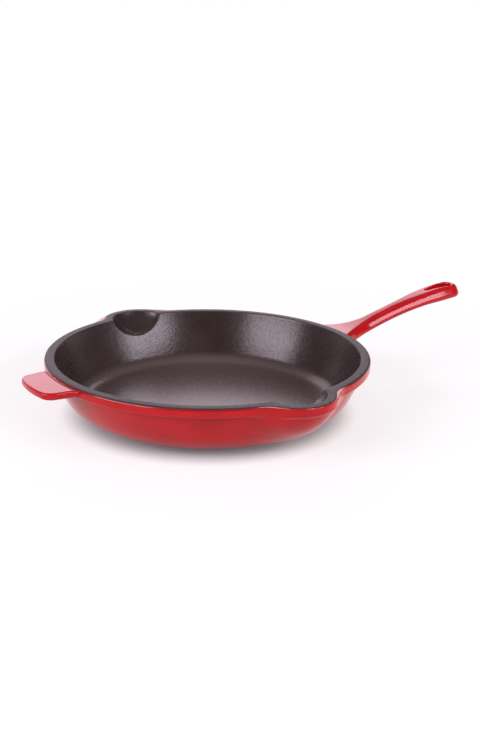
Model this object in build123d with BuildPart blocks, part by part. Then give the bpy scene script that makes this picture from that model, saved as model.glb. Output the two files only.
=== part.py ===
from build123d import *
import os

# A cast iron skillet with fused enamel: a shallow bowl with a pour lip on each side,
# a long rising handle with a hanging eye, and a short helper handle opposite.
# Millimetres, +Z up. The origin is the centre of the flat base, where it rests.
# +X runs along the long handle and the pour lips point along +Y and -Y.

# ---- bowl: outside of the finished pan
HEIGHT = 48.0              # base to rim
RIM_RADIUS = 130.0         # outer edge of the flat rim
BASE_RADIUS = 95.0         # flat base
HEEL_RADIUS = 20.0         # rounding between base and wall
HEEL_TURN = 59.6           # degrees turned by the heel
WALL_RADIUS = 173.0        # slight outward belly of the wall
WALL_TURN = 11.6
COLLAR_RADIUS = 131.6      # thick band under the rim
COLLAR_BOTTOM = 39.8
COLLAR_TOP_ROUND = 1.5
LIP_BLEND = 4.5            # plan rounding where a lip leaves the rim

# ---- bowl: inside
FLOOR_THICKNESS = 5.0
FLOOR_RADIUS = 96.2        # flat cooking surface
COVE_RADIUS = 14.0         # rounding between floor and wall
COVE_TURN = 61.0
INNER_WALL_RADIUS = 190.0
INNER_WALL_TURN = 10.5
MOUTH_RUN = 6.5            # straight wall at the mouth, run past the rim

# ---- pour lips: one ball inside and one outside, cut off by the rim
LIP_CENTRE_Y = 117.0
SCOOP_CENTRE_Z = 58.2
SCOOP_RADIUS = 26.0
SKIRT_CENTRE_Z = 50.0
SKIRT_RADIUS = 29.9

# ---- fused enamel
ENAMEL = 0.4
RIM_LINE = HEIGHT - 0.8    # the dark inside enamel ends here, just below the rim

# ---- long handle: (x, height of its top, thickness, half width) at each section
HANDLE_SECTIONS = [(108, 45.0, 11.0, 31.0), (131, 46.6, 11.0, 23.0), (145, 47.5, 10.6, 15.5),
                   (161, 50.1, 10.6, 10.4), (184, 56.2, 10.7, 8.9), (208, 62.1, 10.8, 9.3),
                   (232, 67.0, 10.9, 11.2), (253, 70.0, 11.8, 12.3), (267, 71.2, 11.9, 11.6),
                   (275, 71.5, 11.4, 9.0), (279.5, 71.2, 9.8, 4.4)]
HANDLE_ROUND = 3.4
EYE_X = 264.5              # round end of the teardrop hanging eye
EYE_RADIUS = 6.0
EYE_POINT_X = 241.5        # narrow end
EYE_POINT_RADIUS = 1.6

# ---- helper handle
TAB_X = 155.7              # middle of its curved edge
TAB_CORNER_X = 152.3
TAB_CORNER_HALF = 24.2
TAB_CORNER_ROUND = 7.0
TAB_ROOT_X = 104.0         # inside the bowl's wall
TAB_ROOT_HALF = 30.2
TAB_DROP = 0.6             # top of the tab below the rim
TAB_THICKNESS = 5.8
TAB_ROUND = 2.0

FAR = 400.0


def bowl_form(inset):
    """The bowl as a filled solid, with its outside moved in by inset."""
    collar_radius = COLLAR_RADIUS - inset
    skirt_plan_radius = (SKIRT_RADIUS**2 - (SKIRT_CENTRE_Z - HEIGHT)**2)**0.5
    lip_plan_radius = skirt_plan_radius + COLLAR_RADIUS - RIM_RADIUS
    with BuildPart() as form:
        with BuildSketch(Plane.XZ):
            with BuildLine():
                base = Line((0, inset), (BASE_RADIUS, inset))
                heel = JernArc(base @ 1, (1, 0), HEEL_RADIUS - inset, HEEL_TURN)
                wall = JernArc(heel @ 1, heel % 1, WALL_RADIUS - inset, WALL_TURN)
                Polyline(wall @ 1, (0, (wall @ 1).Y), base @ 0)
            make_face()
        revolve(axis=Axis.Z)
        with BuildSketch(Plane.XY.offset(COLLAR_BOTTOM + inset)):
            Circle(collar_radius)
            with Locations((0, LIP_CENTRE_Y), (0, -LIP_CENTRE_Y)):
                Circle(lip_plan_radius - inset)
            fillet(vertices(), LIP_BLEND + inset)
        extrude(amount=HEIGHT - COLLAR_BOTTOM - 2 * inset)
        fillet(edges().group_by(Axis.Z)[-1], COLLAR_TOP_ROUND)
        with Locations((0, LIP_CENTRE_Y, SKIRT_CENTRE_Z), (0, -LIP_CENTRE_Y, SKIRT_CENTRE_Z)):
            Sphere(SKIRT_RADIUS - inset)
        split(bisect_by=Plane.XY.offset(HEIGHT - inset), keep=Keep.BOTTOM)
    return form.part


def cavity_form(growth):
    """The space inside the bowl and its two scoops, with its surface moved out by growth."""
    with BuildPart() as form:
        with BuildSketch(Plane.XZ):
            with BuildLine():
                floor = Line((0, FLOOR_THICKNESS - growth), (FLOOR_RADIUS, FLOOR_THICKNESS - growth))
                cove = JernArc(floor @ 1, (1, 0), COVE_RADIUS + growth, COVE_TURN)
                wall = JernArc(cove @ 1, cove % 1, INNER_WALL_RADIUS + growth, INNER_WALL_TURN)
                mouth = Line(wall @ 1, wall @ 1 + (wall % 1) * MOUTH_RUN)
                Polyline(mouth @ 1, (0, (mouth @ 1).Y), floor @ 0)
            make_face()
        revolve(axis=Axis.Z)
        with Locations((0, LIP_CENTRE_Y, SCOOP_CENTRE_Z), (0, -LIP_CENTRE_Y, SCOOP_CENTRE_Z)):
            Sphere(SCOOP_RADIUS + growth)
    return form.part


def long_handle_form(inset):
    """The long handle, run into the bowl: rounded sections lofted from the root to the tip."""
    tip_x = HANDLE_SECTIONS[-1][0]
    with BuildPart() as form:
        for x, top_z, thickness, half_width in HANDLE_SECTIONS:
            section_x = min(x, tip_x - inset)
            section = Plane(origin=(section_x, 0, top_z - thickness / 2), x_dir=(0, 1, 0), z_dir=(1, 0, 0))
            with BuildSketch(section):
                RectangleRounded(2 * (half_width - inset), thickness - 2 * inset, HANDLE_ROUND - inset)
        loft()
        with BuildSketch():
            with BuildLine():
                CenterArc((EYE_X, 0), EYE_RADIUS + inset, 0, 360)
                CenterArc((EYE_POINT_X, 0), EYE_POINT_RADIUS + inset, 0, 360)
            make_hull()
        extrude(amount=FAR, mode=Mode.SUBTRACT)
    return form.part


def helper_handle_form(inset):
    """The helper handle, run into the bowl: a level tab with a gently curved edge."""
    with BuildPart() as form:
        with BuildSketch(Plane.XY.offset(HEIGHT - TAB_DROP - TAB_THICKNESS + inset)):
            with BuildLine():
                sides = Polyline((-TAB_CORNER_X, TAB_CORNER_HALF), (-TAB_ROOT_X, TAB_ROOT_HALF),
                                 (-TAB_ROOT_X, -TAB_ROOT_HALF), (-TAB_CORNER_X, -TAB_CORNER_HALF))
                ThreePointArc(sides @ 1, (-TAB_X, 0), sides @ 0)
            make_face()
            fillet(vertices().group_by(Axis.X)[0], TAB_CORNER_ROUND)
            offset(amount=-inset)
        extrude(amount=TAB_THICKNESS - 2 * inset)
        upright = edges().filter_by(Axis.Z)
        root_edges = edges().group_by(Axis.X)[-1]
        fillet(edges() - upright - root_edges, TAB_ROUND - inset)
    return form.part


os.makedirs("parts", exist_ok=True)

bowl_outside = bowl_form(0)
bowl_core = bowl_form(ENAMEL)
cavity = cavity_form(0)
cavity_core = cavity_form(ENAMEL)
long_handle_outside = long_handle_form(0)
long_handle_core = long_handle_form(ENAMEL)
helper_outside = helper_handle_form(0)
helper_core = helper_handle_form(ENAMEL)

# ---- iron
with BuildPart() as bowl_casting:
    add(bowl_core)
    add(cavity_core, mode=Mode.SUBTRACT)
bowl_casting.part.label = "bowl_casting"
export_step(bowl_casting.part, "parts/bowl_casting.step")

with BuildPart() as long_handle_casting:
    add(long_handle_core)
    add(bowl_core, mode=Mode.SUBTRACT)
long_handle_casting.part.label = "long_handle_casting"
export_step(long_handle_casting.part, "parts/long_handle_casting.step")

with BuildPart() as helper_handle_casting:
    add(helper_core)
    add(bowl_core, mode=Mode.SUBTRACT)
helper_handle_casting.part.label = "helper_handle_casting"
export_step(helper_handle_casting.part, "parts/helper_handle_casting.step")

# ---- enamel
with BuildPart() as base_enamel:
    Cylinder(BASE_RADIUS, ENAMEL, align=(Align.CENTER, Align.CENTER, Align.MIN))
base_enamel.part.label = "base_enamel"
export_step(base_enamel.part, "parts/base_enamel.step")

with BuildPart() as bowl_enamel:
    add(bowl_outside)
    add(bowl_core, mode=Mode.SUBTRACT)
    split(bisect_by=Plane.XY.offset(RIM_LINE), keep=Keep.BOTTOM)
    add(base_enamel.part, mode=Mode.SUBTRACT)
    add(long_handle_core, mode=Mode.SUBTRACT)
    add(helper_core, mode=Mode.SUBTRACT)
bowl_enamel.part.label = "bowl_enamel"
export_step(bowl_enamel.part, "parts/bowl_enamel.step")

with BuildPart() as rim_enamel:
    add(bowl_outside)
    add(bowl_core, mode=Mode.SUBTRACT)
    split(bisect_by=Plane.XY.offset(RIM_LINE), keep=Keep.TOP)

with BuildPart() as cooking_surface_enamel:
    add(cavity_core)
    split(bisect_by=Plane.XY.offset(HEIGHT), keep=Keep.BOTTOM)
    add(rim_enamel.part)
    add(cavity, mode=Mode.SUBTRACT)
cooking_surface_enamel.part.label = "cooking_surface_enamel"
export_step(cooking_surface_enamel.part, "parts/cooking_surface_enamel.step")

with BuildPart() as long_handle_enamel:
    add(long_handle_outside)
    add(bowl_outside, mode=Mode.SUBTRACT)
    add(long_handle_core, mode=Mode.SUBTRACT)
long_handle_enamel.part.label = "long_handle_enamel"
export_step(long_handle_enamel.part, "parts/long_handle_enamel.step")

with BuildPart() as helper_handle_enamel:
    add(helper_outside)
    add(helper_core, mode=Mode.SUBTRACT)
    add(bowl_outside, mode=Mode.SUBTRACT)
helper_handle_enamel.part.label = "helper_handle_enamel"
export_step(helper_handle_enamel.part, "parts/helper_handle_enamel.step")
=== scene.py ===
import math

import bpy
import numpy as np
from mathutils import Matrix, Vector


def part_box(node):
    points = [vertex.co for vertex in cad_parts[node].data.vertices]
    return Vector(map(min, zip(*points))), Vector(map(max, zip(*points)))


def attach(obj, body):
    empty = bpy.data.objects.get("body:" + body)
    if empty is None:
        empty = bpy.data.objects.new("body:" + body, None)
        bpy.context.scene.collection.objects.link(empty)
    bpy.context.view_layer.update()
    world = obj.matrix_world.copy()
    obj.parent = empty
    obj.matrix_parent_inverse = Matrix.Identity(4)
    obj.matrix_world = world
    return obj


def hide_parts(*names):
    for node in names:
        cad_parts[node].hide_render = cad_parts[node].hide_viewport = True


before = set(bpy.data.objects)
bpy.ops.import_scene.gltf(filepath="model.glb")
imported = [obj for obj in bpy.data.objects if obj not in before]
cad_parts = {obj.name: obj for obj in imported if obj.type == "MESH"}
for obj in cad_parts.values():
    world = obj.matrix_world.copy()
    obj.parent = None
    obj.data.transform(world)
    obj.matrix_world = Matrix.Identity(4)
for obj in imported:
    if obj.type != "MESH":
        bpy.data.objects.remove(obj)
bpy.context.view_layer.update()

# Shapes are worked out in millimetres in the CAD's frame, and meshes are written in metres.
MM = 0.001
FAR = 1e3


def top_of(node):
    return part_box(node)[1][2] / MM


# ---------------------------------------------------------------- sizes, from the frame
HEIGHT = top_of("cooking_surface_enamel")      # flat rim
FLOOR_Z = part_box("cooking_surface_enamel")[0][2] / MM + 0.4
COLLAR_RADIUS = -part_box("bowl_enamel")[0][0] / MM
BASE_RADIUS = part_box("base_enamel")[1][0] / MM
TIP_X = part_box("long_handle_enamel")[1][0] / MM
TAB_X = -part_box("helper_handle_enamel")[0][0] / MM
TAB_HALF_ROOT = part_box("helper_handle_enamel")[1][1] / MM
ENAMEL = 0.4

# ---- bowl, outside
HEEL_RADIUS = 20.0
HEEL_TURN = math.radians(59.6)
WALL_RADIUS = 173.0
COLLAR_FOOT = 40.6
COLLAR_TOP_ROUND = 2.2
COLLAR_FOOT_ROUND = 1.3
COLLAR_BLEND = 2.0
LIP_BLEND = 4.5

# ---- bowl, inside
FLOOR_RADIUS = 96.2
COVE_RADIUS = 14.0
COVE_TURN = math.radians(61.0)
INNER_WALL_RADIUS = 190.0
INNER_WALL_TURN = math.radians(10.5)
RIM_INNER_ROUND = 0.9

# ---- pour lips
LIP_Y = 117.0
SCOOP_Z = 58.2
SCOOP_RADIUS = 26.0
SKIRT_Z = 50.0
SKIRT_RADIUS = 29.9
SKIRT_BLEND = 24.0
LIP_PLAN_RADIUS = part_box("bowl_enamel")[1][1] / MM - LIP_Y

# ---- long handle: (x, top, thickness, half width, half width of the flat on top)
HANDLE = np.array([
    (112.0, 45.2, 11.0, 30.0, 27.0),
    (131.0, 46.5, 11.0, 23.0, 20.5),
    (145.0, 47.4, 10.6, 15.5, 12.6),
    (161.0, 50.1, 10.6, 10.4, 7.4),
    (184.0, 56.2, 10.8, 8.9, 5.2),
    (208.0, 62.1, 10.9, 9.3, 5.4),
    (232.0, 67.0, 11.1, 11.2, 7.8),
    (253.0, 70.0, 12.1, 12.2, 9.0),
    (268.0, 71.2, 12.1, 12.2, 9.0),
    (282.0, 71.5, 12.0, 12.2, 9.0)])
TIP_RADIUS = 12.2
SHOULDER_SLOPE = math.radians(24.0)
SIDE_LEAN = math.radians(26.5)
WIDEST_DOWN = 0.66         # how far below its top the handle is widest, as a share of its thickness
SIDE_SOFT = 1.3
CROWN_SOFT = 2.0
HANDLE_TOP_ROUND = 2.3
HANDLE_UNDER_ROUND = 4.2
HANDLE_FILLET = (0.8, 4.2)  # against the bowl: beside the rim, and how much more lower down
HANDLE_START = 126.5
EYE_X = 264.5
EYE_RADIUS = 6.0
EYE_POINT_X = 241.5
EYE_POINT_RADIUS = 1.6
EYE_ROUND = 1.6

# ---- helper handle
RIM_OUT = 129.0            # where the tab leaves the collar, beside it
TAB_CORNER_X = TAB_X - 3.4
TAB_CORNER_HALF = TAB_HALF_ROOT - 2.9
TAB_CORNER = 7.0
TAB_END_RADIUS = 88.0
TAB_TOP = HEIGHT - 0.6
TAB_THICKNESS = 5.8
TAB_DIP = 1.2              # a valley between the rim and the top of the tab
TAB_DIP_RUN = 3.6
TAB_TOP_ROUND = 1.5
TAB_UNDER_ROUND = 2.4
TAB_FILLET = (0.5, 2.1)    # against the bowl, as HANDLE_FILLET
NEAR_HANDLES = 115.0       # the handles' roots lie beyond this distance along X

# ---- where the coats and the iron end
SHELF_DROP = 0.4           # the red coat's cut edge, below the rim
SHELF_SLOPE = 0.25
IRON_GAP = 0.15            # between the iron and the back of its coats
CAVITY_SLOPE = 0.45        # scales a height above the bowl's inside down to a distance from it
RIM_REACH = 2.0            # the iron is level under the rim as far out as this


# ---------------------------------------------------------------- shape algebra
# Each shape is a distance field: negative inside, positive outside.

def both(a, b):
    return np.maximum(a, b)


def both_round(a, b, radius):
    """Where both hold, with the outside corner rounded."""
    corner = np.hypot(np.maximum(radius + a, 0), np.maximum(radius + b, 0))
    return np.minimum(-radius, np.maximum(a, b)) + corner


def either_round(a, b, radius):
    """Where either holds, with the inside corner rounded."""
    corner = np.hypot(np.maximum(radius - a, 0), np.maximum(radius - b, 0))
    return np.maximum(radius, np.minimum(a, b)) - corner


def either_soft(a, b, width):
    blend = np.maximum(width - np.abs(a - b), 0) / width
    return np.minimum(a, b) - blend**2 * width / 4


def both_soft(a, b, width):
    return -either_soft(-a, -b, width)


def eased(x, knots, values):
    """A smooth curve through the given values, by cubic Hermite spans."""
    slopes = np.gradient(values, knots)
    i = np.clip(np.searchsorted(knots, x) - 1, 0, len(knots) - 2)
    span = knots[i + 1] - knots[i]
    t = np.clip((x - knots[i]) / span, 0, 1)
    rise = values[i + 1] - values[i]
    return (values[i] + rise * t * t * (3 - 2 * t)
            + span * t * (1 - t) * (slopes[i] * (1 - t) - slopes[i + 1] * t))


# ---------------------------------------------------------------- the bowl's outside
heel_end = np.array([BASE_RADIUS + HEEL_RADIUS * math.sin(HEEL_TURN),
                     HEEL_RADIUS * (1 - math.cos(HEEL_TURN))])
wall_centre = heel_end + WALL_RADIUS * np.array([-math.sin(HEEL_TURN), math.cos(HEEL_TURN)])


def collar_plan(x, y):
    """Distance to the rim's outline, seen from above, with its two pour lips."""
    rim = np.hypot(x, y) - COLLAR_RADIUS
    lips = np.hypot(x, np.abs(y) - LIP_Y) - LIP_PLAN_RADIUS
    return either_round(rim, lips, LIP_BLEND)


def wall_body(x, y, z):
    """The flared wall on its flat base, with the skirt under each pour lip."""
    r = np.hypot(x, y)
    wall = np.hypot(r - wall_centre[0], z - wall_centre[1]) - WALL_RADIUS
    body = both_round(-z, wall, HEEL_RADIUS)
    ball = np.sqrt(x**2 + (np.abs(y) - LIP_Y)**2 + (z - SKIRT_Z)**2) - SKIRT_RADIUS
    return either_soft(body, ball, SKIRT_BLEND)


def collar_body(x, y, z):
    """The thick band under the rim."""
    plan = collar_plan(x, y)
    band = both_round(plan, z - HEIGHT, COLLAR_TOP_ROUND)
    return both_round(band, COLLAR_FOOT - z, COLLAR_FOOT_ROUND)


def bowl_body(x, y, z):
    band = collar_body(x, y, z)
    return both(either_soft(wall_body(x, y, z), band, COLLAR_BLEND), z - HEIGHT)


# ---------------------------------------------------------------- the handles
def eye_plan(x, y):
    """Distance to the teardrop hanging eye, seen from above."""
    length = EYE_X - EYE_POINT_X
    tilt = (EYE_RADIUS - EYE_POINT_RADIUS) / length
    along = EYE_X - x
    across = np.abs(y)
    side = math.sqrt(1 - tilt * tilt)
    reach = across * -tilt + along * side
    big = np.hypot(along, across) - EYE_RADIUS
    small = np.hypot(along - length, across) - EYE_POINT_RADIUS
    flank = across * side + along * tilt - EYE_RADIUS
    return np.where(reach < 0, big, np.where(reach > side * length, small, flank))


def long_handle_body(x, y, z):
    """The rising handle: a flat top with sloping shoulders, sides that lean in, round below."""
    knots = HANDLE[:, 0]
    top_z, thickness, half, flat = [eased(x, knots, HANDLE[:, k]) for k in (1, 2, 3, 4)]
    across = np.abs(y)
    tip_centre = TIP_X - TIP_RADIUS
    beyond = np.maximum(x - tip_centre, 0)
    side = np.where(beyond > 0, np.hypot(beyond, across) - TIP_RADIUS, across - half)
    widest = top_z - WIDEST_DOWN * thickness
    lean = side * math.cos(SIDE_LEAN) + (z - widest) * math.sin(SIDE_LEAN)
    side = both_soft(side, lean, SIDE_SOFT)
    to_flat = np.where(beyond > 0, np.hypot(beyond, across) - flat, across - flat)
    top = z - top_z
    shoulder = top * math.cos(SHOULDER_SLOPE) + to_flat * math.sin(SHOULDER_SLOPE)
    crown = both_soft(top, shoulder, CROWN_SOFT)
    form = both_round(crown, side, HANDLE_TOP_ROUND)
    form = both_round(form, top_z - thickness - z, HANDLE_UNDER_ROUND)
    form = both_soft(form, -eye_plan(x, y), EYE_ROUND)
    return both(form, HANDLE_START - x)


def helper_handle_body(x, y, z):
    """The helper handle: a level tab with a gently curved edge."""
    out = -x
    across = np.abs(y)
    slant = (TAB_HALF_ROOT - TAB_CORNER_HALF) / (TAB_CORNER_X - RIM_OUT)
    flank = (across - TAB_CORNER_HALF - slant * (TAB_CORNER_X - out)) / math.hypot(1, slant)
    end = np.hypot(out - TAB_X + TAB_END_RADIUS, across) - TAB_END_RADIUS
    plan = both_round(flank, end, TAB_CORNER)
    dip = np.clip(1 - collar_plan(x, y) / TAB_DIP_RUN, 0, 1)
    top = z - TAB_TOP + TAB_DIP * dip * dip * (3 - 2 * dip)
    form = both_round(plan, top, TAB_TOP_ROUND)
    form = both_round(form, TAB_TOP - TAB_THICKNESS - z, TAB_UNDER_ROUND)
    return both(form, HANDLE_START - out)


def outside(x, y, z):
    """The whole outside of the pan, up to the rim."""
    form = bowl_body(x, y, z)
    lower = np.clip((HEIGHT - 4 - z) / 4, 0, 1)
    if np.max(x) > NEAR_HANDLES:
        fillet = HANDLE_FILLET[0] + HANDLE_FILLET[1] * lower
        form = either_round(form, long_handle_body(x, y, z), fillet)
    if np.min(x) < -NEAR_HANDLES:
        fillet = TAB_FILLET[0] + TAB_FILLET[1] * lower
        form = either_round(form, helper_handle_body(x, y, z), fillet)
    return form


def red_body(x, y, z):
    """The outside, cut off just under the rim's top, where the dark enamel takes over."""
    shelf = HEIGHT - SHELF_DROP + SHELF_SLOPE * np.maximum(collar_plan(x, y), 0)
    return both(outside(x, y, z), z - shelf)


# ---------------------------------------------------------------- the bowl's inside
def cavity_floor(r):
    """Height of the bowl's inside at distance r from its axis."""
    cove_r = FLOOR_RADIUS + COVE_RADIUS * math.sin(COVE_TURN)
    cove_z = FLOOR_Z + COVE_RADIUS * (1 - math.cos(COVE_TURN))
    centre_r = cove_r - INNER_WALL_RADIUS * math.sin(COVE_TURN)
    centre_z = cove_z + INNER_WALL_RADIUS * math.cos(COVE_TURN)
    steep = COVE_TURN + INNER_WALL_TURN
    mouth_r = centre_r + INNER_WALL_RADIUS * math.sin(steep)
    mouth_z = centre_z - INNER_WALL_RADIUS * math.cos(steep)
    in_cove = np.clip(r - FLOOR_RADIUS, 0, COVE_RADIUS * math.sin(COVE_TURN))
    cove = FLOOR_Z + COVE_RADIUS - np.sqrt(COVE_RADIUS**2 - in_cove**2)
    on_wall = np.clip(r, cove_r, mouth_r) - centre_r
    wall = centre_z - np.sqrt(INNER_WALL_RADIUS**2 - on_wall**2)
    mouth = mouth_z + (r - mouth_r) * math.tan(steep)
    return np.where(r < cove_r, cove, np.where(r < mouth_r, wall, mouth))


def scoop_floor(x, y):
    """Height of the pour lip's ball-shaped scoop, or far above where there is none."""
    apart = x**2 + (np.abs(y) - LIP_Y)**2
    inside = apart < SCOOP_RADIUS**2
    depth = np.sqrt(np.where(inside, SCOOP_RADIUS**2 - apart, 0))
    return np.where(inside, SCOOP_Z - depth, FAR)


def iron_body(x, y, z):
    """The iron under its enamel."""
    skin = outside(x, y, z) + ENAMEL + IRON_GAP
    r = np.hypot(x, y)
    bottom = np.minimum(cavity_floor(r), scoop_floor(x, y))
    space = (bottom - z) * CAVITY_SLOPE - ENAMEL - IRON_GAP
    plan = collar_plan(x, y)
    under_rim = np.where(plan < RIM_REACH, z - HEIGHT + ENAMEL + IRON_GAP, -FAR)
    return both(both(skin, -both(space, plan)), under_rim)


# ---------------------------------------------------------------- meshing a shape
def slopes(shape, points, step=0.02):
    """The gradient of a shape at points."""
    grad = np.empty_like(points)
    for axis in range(3):
        shift = np.zeros(3)
        shift[axis] = step
        ahead = shape(*(points + shift).T)
        behind = shape(*(points - shift).T)
        grad[:, axis] = (ahead - behind) / (2 * step)
    return grad


def settle(shape, points, rounds=4, reach=0.6):
    """Moves points onto a shape's surface."""
    for _ in range(rounds):
        grad = slopes(shape, points)
        size = np.maximum((grad**2).sum(1), 0.05)
        move = (shape(*points.T) / size)[:, None] * grad
        length = np.maximum(np.linalg.norm(move, axis=1), 1e-9)
        points = points - move * np.minimum(1, reach / length)[:, None]
    return points


def sampled(shape, axes, part_of_row):
    """The shape's values on a grid, one plane of X at a time."""
    xs, ys, zs = axes
    grid = np.full((len(xs), len(ys), len(zs)), 5.0, dtype=np.float32)
    for i, x in enumerate(xs):
        y_reach, z_low, z_high = part_of_row(x)
        j = np.nonzero(np.abs(ys) <= y_reach)[0]
        k = np.nonzero((zs >= z_low) & (zs <= z_high))[0]
        yy, zz = np.meshgrid(ys[j], zs[k], indexing="ij")
        values = shape(np.full_like(yy, x), yy, zz)
        grid[i, j[0]:j[-1] + 1, k[0]:k[-1] + 1] = values
    return grid


def net(shape, low, high, step, part_of_row):
    """A quad mesh of a shape's surface, as a surface net settled onto it."""
    axes = [np.arange(a, b + step, step) + 0.013 for a, b in zip(low, high)]
    grid = sampled(shape, axes, part_of_row)
    inside = grid < 0
    nx, ny, nz = grid.shape
    corners = [(a, b, c) for a in (0, 1) for b in (0, 1) for c in (0, 1)]

    def corner(values, a, b, c):
        return values[a:nx - 1 + a, b:ny - 1 + b, c:nz - 1 + c]

    count = sum(corner(inside, *at).astype(np.int8) for at in corners)
    cells = np.argwhere((count > 0) & (count < 8))
    number = np.full((nx - 1, ny - 1, nz - 1), -1, dtype=np.int64)
    number[tuple(cells.T)] = np.arange(len(cells))
    total = np.zeros((len(cells), 3))
    hits = np.zeros(len(cells))
    for at in corners:
        for axis in range(3):
            if at[axis]:
                continue
            to = tuple(v + (k == axis) for k, v in enumerate(at))
            first = corner(grid, *at)[tuple(cells.T)]
            second = corner(grid, *to)[tuple(cells.T)]
            crossed = (first < 0) != (second < 0)
            t = np.where(crossed, first / np.where(crossed, first - second, 1), 0)
            point = np.tile(np.array(at, float), (len(cells), 1))
            point[:, axis] += t
            total += point * crossed[:, None]
            hits += crossed
    origin = np.array([axis[0] for axis in axes])
    points = origin + (cells + total / hits[:, None]) * step
    quads = []
    for axis in range(3):
        u, v = [k for k in range(3) if k != axis]
        size = [nx, ny, nz]
        start = [slice(1, n - 1) for n in size]
        start[axis] = slice(0, size[axis] - 1)
        end = list(start)
        end[axis] = slice(1, size[axis])
        change = inside[tuple(start)] != inside[tuple(end)]
        goes_in = inside[tuple(end)][change]
        at = np.argwhere(change) + [s.start for s in start]
        ring = []
        for du, dv in ((1, 1), (0, 1), (0, 0), (1, 0)):
            cell = at.copy()
            cell[:, u] -= du
            cell[:, v] -= dv
            ring.append(number[tuple(cell.T)])
        ring = np.stack(ring, 1)
        flip = goes_in if axis != 1 else ~goes_in
        ring[flip] = ring[flip][:, ::-1]
        quads.append(ring)
    quads = np.concatenate(quads)
    edges = np.concatenate([quads[:, [k, (k + 1) % 4]] for k in range(4)])
    points = settle(shape, points)
    for _ in range(3):
        near = np.zeros_like(points)
        ties = np.zeros(len(points))
        for a, b in ((0, 1), (1, 0)):
            np.add.at(near, edges[:, a], points[edges[:, b]])
            np.add.at(ties, edges[:, a], 1)
        points = settle(shape, 0.4 * points + 0.6 * near / ties[:, None], 2)
    return points, quads


def refined(shape, points, quads):
    """Each quad as four, with the new points settled onto the shape."""
    n = len(points)
    edges = np.sort(np.concatenate([quads[:, [k, (k + 1) % 4]] for k in range(4)]), axis=1)
    pairs, place = np.unique(edges, axis=0, return_inverse=True)
    halfway = place.reshape(4, -1).T + n
    centre = np.arange(len(quads)) + n + len(pairs)
    added = np.concatenate([points[pairs].mean(1), points[quads].mean(1)])
    small = [np.stack([quads[:, k], halfway[:, k], centre, halfway[:, k - 1]], 1) for k in range(4)]
    return np.concatenate([points, settle(shape, added, 3)]), np.concatenate(small)


def normals_of(shape, points):
    grad = slopes(shape, points)
    return grad / np.maximum(np.linalg.norm(grad, axis=1), 1e-9)[:, None]


def thicken(points, normals, quads, depth):
    """A shell: the surface, its copy a coat's depth below, and strips that join their borders."""
    n = len(points)
    back = quads[:, ::-1] + n
    edges = np.concatenate([quads[:, [k, (k + 1) % 4]] for k in range(4)])
    forward = edges[:, 0] * n + edges[:, 1]
    reverse = edges[:, 1] * n + edges[:, 0]
    border = edges[~np.isin(forward, reverse)]
    strip = np.stack([border[:, 1], border[:, 0], border[:, 0] + n, border[:, 1] + n], 1)
    both_sides = np.concatenate([points, points - normals * depth])
    return both_sides, np.concatenate([quads, back, strip])


def compact(points, normals, quads):
    """Drops the points that no face uses."""
    used = np.unique(quads)
    renumber = np.full(len(points), -1)
    renumber[used] = np.arange(len(used))
    return points[used], normals[used], renumber[quads]


def mesh_object(name, points, faces, material, normals=None):
    """Makes a mesh in metres. A face's -1 is no point, so that a triangle can stand in a row of four."""
    mesh = bpy.data.meshes.new(name)
    faces = [[int(v) for v in face if v >= 0] for face in faces]
    mesh.from_pydata((points * MM).tolist(), [], faces)
    mesh.materials.append(material)
    mesh.shade_smooth()
    mesh.update()
    if normals is not None:
        mesh.normals_split_custom_set_from_vertices(normals.tolist())
    obj = bpy.data.objects.new(name, mesh)
    bpy.context.scene.collection.objects.link(obj)
    return obj


# ---------------------------------------------------------------- the dark lining
LINING_COLUMNS = 640
LINING_REACH = 0.12        # how far the dark coat stands proud of the red one
LINING_END_TURN = math.radians(48)
CREASE_WALL_SIDE = 0.1     # half widths of the crease round each scoop, along the radius
CREASE_SCOOP_SIDE = 0.28


def between(first, last, count):
    """Rows that ease evenly from first to last, the last one left out."""
    t = np.arange(count) / count
    return first + (last - first) * t[:, None]


def radius_where(angles, distance):
    """How far out, at each angle, the rim's outline lies at a given distance."""
    low = np.full_like(angles, 90.0)
    high = np.full_like(angles, 170.0)
    for _ in range(40):
        middle = (low + high) / 2
        beyond = collar_plan(middle * np.cos(angles), middle * np.sin(angles)) > distance
        low, high = np.where(beyond, low, middle), np.where(beyond, middle, high)
    return low


def inside_height(r, angles):
    x, y = r * np.cos(angles), r * np.sin(angles)
    return np.minimum(cavity_floor(r), scoop_floor(x, y))


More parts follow.
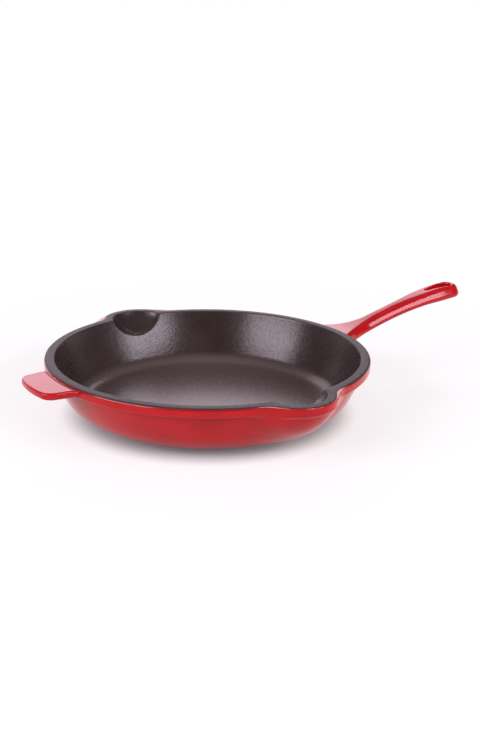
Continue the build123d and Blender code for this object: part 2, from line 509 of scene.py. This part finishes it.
def lining_rows(angles):
    """The lining's section at each angle: rows of radius and height, floor to rim."""
    scan = np.linspace(FLOOR_RADIUS, COLLAR_RADIUS + 16, 4000)[:, None]
    x, y = scan * np.cos(angles), scan * np.sin(angles)
    bowl, scoop = cavity_floor(scan), scoop_floor(x, y)
    below_rim = np.minimum(bowl, scoop) < HEIGHT
    edge = scan[len(scan) - 1 - np.argmax(below_rim[::-1], axis=0), 0]
    scooped = (scoop < bowl) & (scoop < HEIGHT)
    has_scoop = scooped.any(axis=0)
    crease = np.where(has_scoop, scan[np.argmax(scooped, axis=0), 0], edge)
    plain_edge = edge[~has_scoop].min()
    plain_guide = plain_edge - 5.0
    lip_side = np.arcsin(min(1.0, SCOOP_RADIUS / (LIP_Y + 6.0)))
    off_lip = np.abs(np.abs(angles - np.pi) - np.pi / 2)
    settle_in = np.clip((off_lip - lip_side) / 0.12, 0, 1)
    settle_in = settle_in**2 * (3 - 2 * settle_in)
    open_guide = plain_edge - 0.25 - settle_in * (plain_edge - 0.25 - plain_guide)
    guide = np.where(has_scoop, np.minimum(crease, plain_edge - 0.2), open_guide)

    step = 0.05
    steep = np.arctan2(HEIGHT - inside_height(edge - step, angles), step)
    back_off = RIM_INNER_ROUND * np.tan(steep / 2)
    start_r = edge - back_off * np.cos(steep)
    start_z = HEIGHT - back_off * np.sin(steep)
    cove_r = FLOOR_RADIUS + COVE_RADIUS * math.sin(COVE_TURN)
    cove_turns = between(0, COVE_TURN, 10)
    radii = [between(np.full_like(angles, 3.0), np.full_like(angles, FLOOR_RADIUS), 18),
             FLOOR_RADIUS + COVE_RADIUS * np.sin(cove_turns) + 0 * angles,
             between(np.full_like(angles, cove_r), guide - CREASE_WALL_SIDE, 15)]
    after = np.where(has_scoop, np.minimum(guide + CREASE_SCOOP_SIDE, (guide + start_r) / 2), guide)
    radii.append((guide - CREASE_WALL_SIDE)[None])
    radii.append(between(after, start_r, 10))
    radii = np.concatenate(radii)
    heights = inside_height(radii, angles)

    t = np.linspace(0, 1, 5)[:, None]
    round_r = (1 - t)**2 * start_r + 2 * t * (1 - t) * edge + t**2 * (edge + back_off)
    round_z = (1 - t)**2 * start_z + (1 - (1 - t)**2) * HEIGHT
    flat_end = radius_where(angles, -COLLAR_TOP_ROUND)
    flat_r = between(round_r[-1], flat_end, 4)[1:]
    flat_z = np.full_like(flat_r, HEIGHT)
    over_r, over_z = [], []
    for turn in np.linspace(0, LINING_END_TURN, 7):
        reach = (COLLAR_TOP_ROUND + LINING_REACH) * math.sin(turn) - COLLAR_TOP_ROUND
        over_r.append(radius_where(angles, reach))
        over_z.append(HEIGHT - COLLAR_TOP_ROUND * (1 - math.cos(turn)) + 0 * angles)
    over_r.append(over_r[-1] - 0.25)
    over_z.append(over_z[-1] - 0.16)
    rows_r = np.concatenate([radii, round_r, flat_r, over_r])
    rows_z = np.concatenate([heights, round_z, flat_z, over_z])
    return rows_r, rows_z


def lining_mesh():
    """The dark enamel inside the bowl and over its rim, as rings of quads round a centre point."""
    t = np.arange(LINING_COLUMNS) / LINING_COLUMNS * 2 * np.pi
    angles = t + 0.2 * np.sin(2 * t)
    radii, heights = lining_rows(angles)
    x, y = radii * np.cos(angles), radii * np.sin(angles)
    rings = np.stack([x, y, heights], -1).reshape(-1, 3)
    points = np.concatenate([[[0, 0, FLOOR_Z]], rings])
    rows = len(radii)
    i, j = np.meshgrid(np.arange(rows - 1), np.arange(LINING_COLUMNS), indexing="ij")
    after = (j + 1) % LINING_COLUMNS
    start = 1 + i * LINING_COLUMNS
    quads = np.stack([start + j, start + LINING_COLUMNS + j,
                      start + LINING_COLUMNS + after, start + after], -1).reshape(-1, 4)
    column = np.arange(LINING_COLUMNS)
    centre = np.stack([0 * column, 1 + column, 1 + (column + 1) % LINING_COLUMNS, -1 + 0 * column], 1)
    return points, quads, centre


def face_normals_to_points(points, quads):
    """Each point's normal, as the mean of the faces round it."""
    a, b = points[quads[:, 2]] - points[quads[:, 0]], points[quads[:, 3]] - points[quads[:, 1]]
    cross = np.cross(a, b)
    total = np.zeros_like(points)
    for k in range(4):
        np.add.at(total, quads[:, k], cross)
    return total / np.maximum(np.linalg.norm(total, axis=1), 1e-12)[:, None]


def make_lining(material):
    points, quads, centre = lining_mesh()
    normals = face_normals_to_points(points, quads)
    normals[0] = (0, 0, 1)
    shell, faces = thicken(points, normals, quads, ENAMEL - 0.05)
    # thicken() takes the hole at the centre for a border; the two fans close it instead
    n = len(points)
    ring = (faces > 0) & (faces <= LINING_COLUMNS)
    back_ring = (faces > n) & (faces <= n + LINING_COLUMNS)
    keep = ~(((ring.sum(1) == 2) & (back_ring.sum(1) == 2)))
    back_centre = np.where(centre >= 0, centre + n, -1)[:, [0, 2, 1, 3]]
    faces = np.concatenate([faces[keep], centre, back_centre])
    return mesh_object("cooking_surface_enamel_coat", shell, faces, material)


# ---------------------------------------------------------------- the red coats and the iron
RED_STEP = 1.1
IRON_STEP = 1.9
HANDLE_EDGE = 0.35         # faces this far off the bowl belong to a handle's coat
GRID_SIDE = LIP_Y + LIP_PLAN_RADIUS + 3
GRID_LOW = np.array([-TAB_X - 2, -GRID_SIDE, -2.0])
GRID_HIGH = np.array([TIP_X + 2, GRID_SIDE, 76.0])


def row_part(x):
    """How much of the grid a plane of X needs: the bowl and its lips, or only the handle."""
    if x > 150:
        return 24.0, 34.0, GRID_HIGH[2]
    return GRID_SIDE, GRID_LOW[2], 52.0


def make_red_coats(materials):
    points, quads = net(red_body, GRID_LOW, GRID_HIGH, RED_STEP, row_part)
    middle = points[quads].mean(1)
    x, y, z = middle.T
    r = np.hypot(x, y)
    under_lining = (z > HEIGHT - 0.5) & (collar_plan(x, y) < -1.9)
    off_bowl = bowl_body(x, y, z)
    on_handle = (off_bowl > HANDLE_EDGE) & (x > NEAR_HANDLES)
    on_helper = (off_bowl > HANDLE_EDGE) & (x < -NEAR_HANDLES)
    on_base = (z < 0.06) & (r < BASE_RADIUS - 0.5)
    on_bowl = ~(under_lining | on_handle | on_helper | on_base)
    normals = normals_of(outside, points)
    coats = {}
    for name, chosen in (("bowl_enamel", on_bowl), ("long_handle_enamel", on_handle),
                         ("helper_handle_enamel", on_helper), ("base_enamel", on_base)):
        part_points, part_normals, part_quads = compact(points, normals, quads[chosen])
        if "handle" in name:
            part_points, part_quads = refined(red_body, part_points, part_quads)
            part_normals = normals_of(outside, part_points)
        shell, faces = thicken(part_points, part_normals, part_quads, ENAMEL)
        both_normals = np.concatenate([part_normals, -part_normals])
        coats[name] = mesh_object(name + "_coat", shell, faces, materials[name], both_normals)
    return coats


def make_iron(material):
    points, quads = net(iron_body, GRID_LOW, GRID_HIGH, IRON_STEP, row_part)
    return mesh_object("iron_casting", points, quads, material)


# ---------------------------------------------------------------- materials
RED_DEEP = (0.29, 0.002, 0.004)
RED_BRIGHT = (0.35, 0.003, 0.006)
RED_EDGE = (0.10, 0.004, 0.005)
DARK_DEEP = (0.018, 0.010, 0.009)
DARK_BRIGHT = (0.028, 0.017, 0.016)
# the floor's dark enamel, lightened to stand in for the studio's reflection: a painted reflection
DARK_FLOOR_PAINTED_SHEEN = (0.076, 0.054, 0.050)
DARK_SPECK = (0.06, 0.05, 0.048)
SCUFF = (0.16, 0.10, 0.09)
IRON_DEEP = (0.05, 0.045, 0.043)
IRON_BRIGHT = (0.10, 0.09, 0.085)


class Shader:
    """A material under a Principled shader, with short names for the nodes used here."""

    def __init__(self, name):
        self.material = bpy.data.materials.new(name)
        self.material.use_nodes = True
        self.nodes = self.material.node_tree.nodes
        self.links = self.material.node_tree.links
        self.surface = self.nodes["Principled BSDF"]
        self.place = self.nodes.new("ShaderNodeTexCoord").outputs["Object"]

    def noise(self, scale, detail=2.0, roughness=0.5):
        node = self.nodes.new("ShaderNodeTexNoise")
        node.inputs["Scale"].default_value = scale
        node.inputs["Detail"].default_value = detail
        node.inputs["Roughness"].default_value = roughness
        self.links.new(self.place, node.inputs["Vector"])
        return node.outputs["Fac"]

    def cells(self, scale):
        node = self.nodes.new("ShaderNodeTexVoronoi")
        node.feature = "SMOOTH_F1"
        node.inputs["Scale"].default_value = scale
        node.inputs["Smoothness"].default_value = 0.6
        self.links.new(self.place, node.inputs["Vector"])
        return node.outputs["Distance"]

    def ramp(self, value, low, high, out_low=0.0, out_high=1.0):
        node = self.nodes.new("ShaderNodeMapRange")
        node.interpolation_type = "SMOOTHSTEP"
        for key, number in (("From Min", low), ("From Max", high),
                            ("To Min", out_low), ("To Max", out_high)):
            node.inputs[key].default_value = number
        self.links.new(value, node.inputs["Value"])
        return node.outputs["Result"]

    def math(self, operation, a, b):
        node = self.nodes.new("ShaderNodeMath")
        node.operation = operation
        for socket, value in zip(node.inputs, (a, b)):
            if isinstance(value, (int, float)):
                socket.default_value = value
            else:
                self.links.new(value, socket)
        return node.outputs[0]

    def mix(self, factor, low, high):
        node = self.nodes.new("ShaderNodeMix")
        node.data_type = "RGBA"
        self.links.new(factor, node.inputs["Factor"])
        for socket, value in ((node.inputs["A"], low), (node.inputs["B"], high)):
            if isinstance(value, tuple):
                socket.default_value = (*value, 1.0)
            else:
                self.links.new(value, socket)
        return node.outputs["Result"]

    def split(self):
        node = self.nodes.new("ShaderNodeSeparateXYZ")
        self.links.new(self.place, node.inputs[0])
        return node.outputs

    def from_axis(self):
        x, y, _ = self.split()
        squares = [self.math("MULTIPLY", side, side) for side in (x, y)]
        return self.math("SQRT", self.math("ADD", *squares), 0.0)

    def bump(self, height, strength, distance, below=None):
        node = self.nodes.new("ShaderNodeBump")
        node.inputs["Distance"].default_value = distance
        if isinstance(strength, (int, float)):
            node.inputs["Strength"].default_value = strength
        else:
            self.links.new(strength, node.inputs["Strength"])
        self.links.new(height, node.inputs["Height"])
        if below is not None:
            self.links.new(below, node.inputs["Normal"])
        return node.outputs["Normal"]

    def join(self, key, value):
        if isinstance(value, (int, float)):
            self.surface.inputs[key].default_value = value
        else:
            self.links.new(value, self.surface.inputs[key])


def red_enamel(name, worn=0.0):
    """Glossy red enamel: deep colour that drifts a little, an orange-peel surface, a dark edge."""
    s = Shader(name)
    drift = s.ramp(s.noise(38, 3), 0.3, 0.7)
    color = s.mix(drift, RED_DEEP, RED_BRIGHT)
    height = s.split()[2]
    near_rim = s.ramp(height, (HEIGHT - 2.6) * MM, (HEIGHT - 1.5) * MM)
    on_rim = s.math("MULTIPLY", near_rim, s.ramp(s.from_axis(), 0.1325, 0.1345, 1.0, 0.0))
    color = s.mix(s.math("MULTIPLY", on_rim, 0.35), color, RED_EDGE)
    if worn:
        scuffs = s.math("MULTIPLY", s.ramp(s.noise(160, 8, 0.7), 0.52, 0.62), worn)
        color = s.mix(scuffs, color, SCUFF)
    s.join("Base Color", color)
    s.join("Roughness", s.ramp(s.noise(90, 4), 0.35, 0.7, 0.10 + 0.2 * worn, 0.16 + 0.2 * worn))
    s.join("IOR", 1.33)
    peel = s.bump(s.noise(230, 1.5), 0.05, 0.0006)
    s.join("Normal", s.bump(s.noise(1500, 2), 0.04, 0.0002, peel))
    return s.material


def dark_enamel(name):
    """Satin dark enamel over sand-cast iron: pebbled on the walls, smoother on the floor, and lighter on
    the floor, where the lighter colour is a painted reflection.
    """
    s = Shader(name)
    height = s.split()[2]
    drift = s.ramp(s.noise(24, 4, 0.6), 0.3, 0.7)
    color = s.mix(drift, DARK_DEEP, DARK_BRIGHT)
    speckle = s.ramp(s.noise(1900, 2), 0.60, 0.72)
    color = s.mix(s.math("MULTIPLY", speckle, 0.5), color, DARK_SPECK)
    on_rim = s.ramp(height, (HEIGHT - 1.2) * MM, (HEIGHT - 0.3) * MM)
    on_wall = s.ramp(height, (FLOOR_Z + 0.6) * MM, (FLOOR_Z + 9) * MM)
    # the floor below the wall takes the lighter colour, a painted reflection
    color = s.mix(on_wall, DARK_FLOOR_PAINTED_SHEEN, color)
    s.join("Base Color", color)
    pebbled = s.math("SUBTRACT", on_wall, s.math("MULTIPLY", on_rim, 0.55))
    rough = s.ramp(s.noise(420, 4, 0.6), 0.35, 0.7, 0.22, 0.31)
    s.join("Roughness", s.math("ADD", rough, s.math("MULTIPLY", on_rim, 0.28)))
    s.join("IOR", 1.38)
    cast = s.bump(s.noise(120, 3), 0.08, 0.0009)
    pebbles = s.bump(s.cells(620), s.math("MULTIPLY", pebbled, 0.13), 0.0005, cast)
    grain_strength = s.math("ADD", s.math("MULTIPLY", pebbled, 0.05), 0.08)
    grain = s.bump(s.noise(1700, 3, 0.6), grain_strength, 0.00025, pebbles)
    s.join("Normal", grain)
    return s.material


def bare_iron(name):
    s = Shader(name)
    drift = s.ramp(s.noise(300, 6, 0.7), 0.3, 0.7)
    s.join("Base Color", s.mix(drift, IRON_DEEP, IRON_BRIGHT))
    s.join("Metallic", 0.8)
    s.join("Roughness", s.ramp(s.noise(700, 4), 0.3, 0.7, 0.5, 0.7))
    s.join("Normal", s.bump(s.noise(900, 5, 0.6), 0.4, 0.0004))
    return s.material


def floor_glow_with_painted_shadow(name):
    s = Shader(name)
    s.join("Base Color", s.mix(s.noise(3, 2), (0.27, 0.27, 0.27), (0.29, 0.29, 0.29)))
    s.join("Roughness", 0.9)
    s.join("Specular IOR Level", 0.0)
    s.surface.inputs["Emission Color"].default_value = (1, 1, 1, 1)
    # The floor glows instead of being lit. Its glow is dimmed under and just round the pan as a painted
    # contact shadow, and grows further out so that the far floor stays white.
    away = s.from_axis()
    under = s.ramp(away, 0.095, 0.125, 0.1, 0.68)
    s.join("Emission Strength", s.math("ADD", under, s.ramp(away, 0.35, 1.1, 0.0, 0.30)))
    return s.material


# ---------------------------------------------------------------- camera, lights and floor
LILAC = (1.0, 0.88, 0.99)
FLOOR_REACH = 60.0

# the studio's light: (azimuth, elevation, cosine where it starts, cosine where it is full, light)
SKY = [(0, 90, -2.0, -1.5, 0.16),
       (0, -90, -0.16, -0.07, 0.84),
       (0, 90, 0.5, 0.95, 0.25)]


def aim(obj, target):
    away = obj.location - Vector(target)
    obj.rotation_euler = away.to_track_quat("Z", "Y").to_euler()


def softbox(name, azimuth, elevation, distance, width, height, power):
    """A rectangular light that faces the pan's middle from a given direction."""
    a, e = math.radians(azimuth), math.radians(elevation)
    light = bpy.data.lights.new(name, "AREA")
    light.shape = "RECTANGLE"
    light.size, light.size_y = width, height
    light.energy = power
    light.color = LILAC
    obj = bpy.data.objects.new(name, light)
    toward = Vector((math.cos(a) * math.cos(e), math.sin(a) * math.cos(e), math.sin(e)))
    obj.location = toward * distance
    aim(obj, (0, 0, 0.03))
    obj.visible_camera = False
    bpy.context.scene.collection.objects.link(obj)


def make_camera():
    """The camera stands to the front left of the bowl and looks a little down, turned slightly."""
    azimuth, elevation, roll = math.radians(-34.25), math.radians(18.68), math.radians(0.86)
    distance, focal_in_frames = 0.855, 1.371
    target = Vector((0.0355, 0.0086, 0.025))
    back = Vector((math.sin(azimuth) * math.cos(elevation),
                   -math.cos(azimuth) * math.cos(elevation), math.sin(elevation)))
    level_right = (-back).cross(Vector((0, 0, 1))).normalized()
    level_up = level_right.cross(-back)
    right = level_right * math.cos(roll) + level_up * math.sin(roll)
    up = level_up * math.cos(roll) - level_right * math.sin(roll)
    data = bpy.data.cameras.new("camera")
    data.sensor_width = 36.0
    data.lens = 36.0 * focal_in_frames
    data.shift_x = 0.0026
    data.clip_start = 0.01
    camera = bpy.data.objects.new("camera", data)
    camera.matrix_world = Matrix((right, up, back)).transposed().to_4x4()
    camera.location = target + back * distance
    bpy.context.scene.collection.objects.link(camera)
    bpy.context.scene.camera = camera


def make_world():
    """The studio as light: dim all round, bright at the horizon and a little brighter overhead."""
    world = bpy.data.worlds.new("studio")
    world.use_nodes = True
    nodes, links = world.node_tree.nodes, world.node_tree.links
    direction = nodes.new("ShaderNodeTexCoord").outputs["Generated"]

    def toward(azimuth, elevation, from_cos, to_cos, light):
        a, e = math.radians(azimuth), math.radians(elevation)
        dot = nodes.new("ShaderNodeVectorMath")
        dot.operation = "DOT_PRODUCT"
        dot.inputs[1].default_value = (math.cos(a) * math.cos(e), math.sin(a) * math.cos(e),
                                       math.sin(e))
        links.new(direction, dot.inputs[0])
        fade = nodes.new("ShaderNodeMapRange")
        fade.interpolation_type = "SMOOTHSTEP"
        for key, number in (("From Min", from_cos), ("From Max", to_cos),
                            ("To Min", 0.0), ("To Max", light)):
            fade.inputs[key].default_value = number
        links.new(dot.outputs["Value"], fade.inputs["Value"])
        return fade.outputs["Result"]

    total = None
    for azimuth, elevation, from_cos, to_cos, light in SKY:
        part = toward(azimuth, elevation, from_cos, to_cos, light)
        if total is None:
            total = part
            continue
        add = nodes.new("ShaderNodeMath")
        add.operation = "ADD"
        links.new(total, add.inputs[0])
        links.new(part, add.inputs[1])
        total = add.outputs[0]
    nodes["Background"].inputs["Color"].default_value = (1, 1, 1, 1)
    links.new(total, nodes["Background"].inputs["Strength"])
    bpy.context.scene.world = world


def make_stage():
    mesh = bpy.data.meshes.new("floor")
    corners = [(FLOOR_REACH * a, FLOOR_REACH * b, 0) for a, b in ((-1, -1), (1, -1), (1, 1), (-1, 1))]
    mesh.from_pydata(corners, [], [(0, 1, 2, 3)])
    mesh.materials.append(floor_glow_with_painted_shadow("floor_glow_with_painted_shadow"))
    floor = bpy.data.objects.new("floor", mesh)
    bpy.context.scene.collection.objects.link(floor)
    make_world()
    softbox("left_box", -181, 26, 2.5, 1.9, 0.9, 66.0)
    softbox("right_box", -66, 25, 2.5, 1.9, 0.8, 66.0)
    softbox("back_box", 71, 27, 2.5, 3.1, 1.2, 33.0)
    bpy.context.scene.view_settings.view_transform = "Standard"


# ---------------------------------------------------------------- the pan
make_camera()
make_stage()
red = red_enamel("red_enamel")
coats = make_red_coats({"bowl_enamel": red, "long_handle_enamel": red, "helper_handle_enamel": red,
                        "base_enamel": red_enamel("red_enamel_worn", worn=0.6)})
for node, coat in coats.items():
    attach(coat, "root")
    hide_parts(node)
lining = make_lining(dark_enamel("dark_enamel"))
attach(lining, "root")
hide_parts("cooking_surface_enamel")
iron = make_iron(bare_iron("iron"))
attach(iron, "root")
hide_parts("bowl_casting", "long_handle_casting", "helper_handle_casting")
